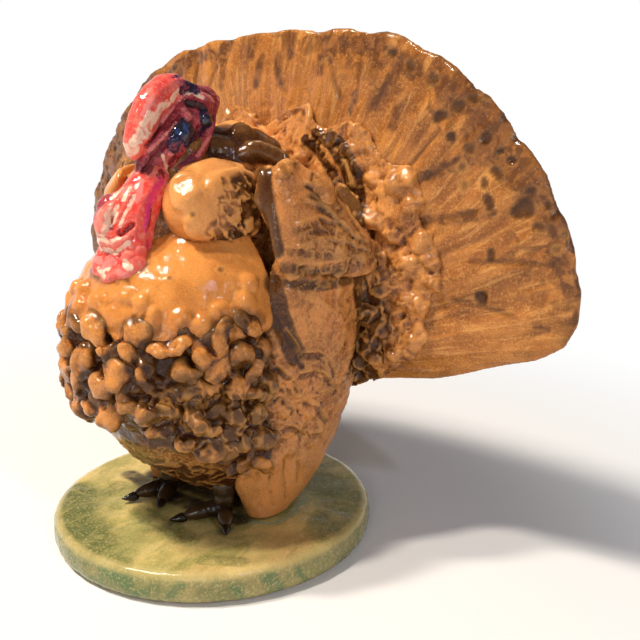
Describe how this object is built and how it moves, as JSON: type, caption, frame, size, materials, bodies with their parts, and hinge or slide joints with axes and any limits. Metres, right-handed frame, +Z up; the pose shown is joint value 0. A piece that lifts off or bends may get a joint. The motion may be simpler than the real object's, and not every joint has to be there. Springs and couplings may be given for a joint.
{
  "type": "turkey figure",
  "caption": "Strutting turkey ornament in glazed earthenware: fanned tail, drooped wings, hanging snood and wattle, on a round base.",
  "frame": {"origin": "centre of the base's underside", "axes": "+Z up, the bird faces -Y, +X to the bird's left"},
  "size_m": [0.2488, 0.12, 0.1837],
  "materials": {
    "base_glaze": "pale green and straw glaze, brushed, glossy",
    "dark_glaze": "dark caramel glaze, glossy",
    "honey_glaze": "honey caramel glaze pooling brown in the hollows, glossy",
    "fan_glaze": "honey glaze with dark oval spots towards the rim, glossy",
    "breast_glaze": "orange caramel glaze, very glossy",
    "wing_glaze": "tan caramel glaze with fine golden lines, glossy",
    "red_glaze": "coral red glaze with cream flashes, glossy",
    "flesh_glaze": "pink and purple flesh glaze, glossy",
    "horn_glaze": "dark purple-brown glaze, glossy",
    "eye_glaze": "blue-black glaze, very glossy",
    "toe_glaze": "orange-tan glaze, glossy",
    "claw_glaze": "black glaze, glossy"
  },
  "bodies": {
    "root": {"base_disc": "base_glaze", "body_shell": "dark_glaze", "tail_root": "dark_glaze", "neck": "dark_glaze", "left_tail_coverts_inner": "dark_glaze", "right_tail_coverts_inner": "dark_glaze", "left_saddle_tufts": "dark_glaze", "right_saddle_tufts": "dark_glaze", "tail_coverts_outer": "honey_glaze", "tail_coverts_rear": "honey_glaze", "mantle": "honey_glaze", "tail_fan": "fan_glaze", "breast_cap": "breast_glaze", "breast_tufts_row_1": "breast_glaze", "breast_tufts_row_2": "breast_glaze", "breast_tufts_row_3": "breast_glaze", "breast_tufts_row_4": "breast_glaze", "left_shoulder_flap": "wing_glaze", "right_shoulder_flap": "wing_glaze", "left_wing": "wing_glaze", "right_wing": "wing_glaze", "snood": "red_glaze", "wattle": "red_glaze", "wattle_apron": "red_glaze", "head": "flesh_glaze", "caruncles": "flesh_glaze", "upper_beak": "horn_glaze", "lower_beak": "horn_glaze", "left_eye": "eye_glaze", "right_eye": "eye_glaze", "left_cheek": "eye_glaze", "right_cheek": "eye_glaze", "left_leg": "toe_glaze", "right_leg": "toe_glaze", "left_foot": "toe_glaze", "right_foot": "toe_glaze", "left_claw_inner": "claw_glaze", "left_claw_outer": "claw_glaze", "right_claw_inner": "claw_glaze", "right_claw_outer": "claw_glaze"}
  },
  "joints": []
}
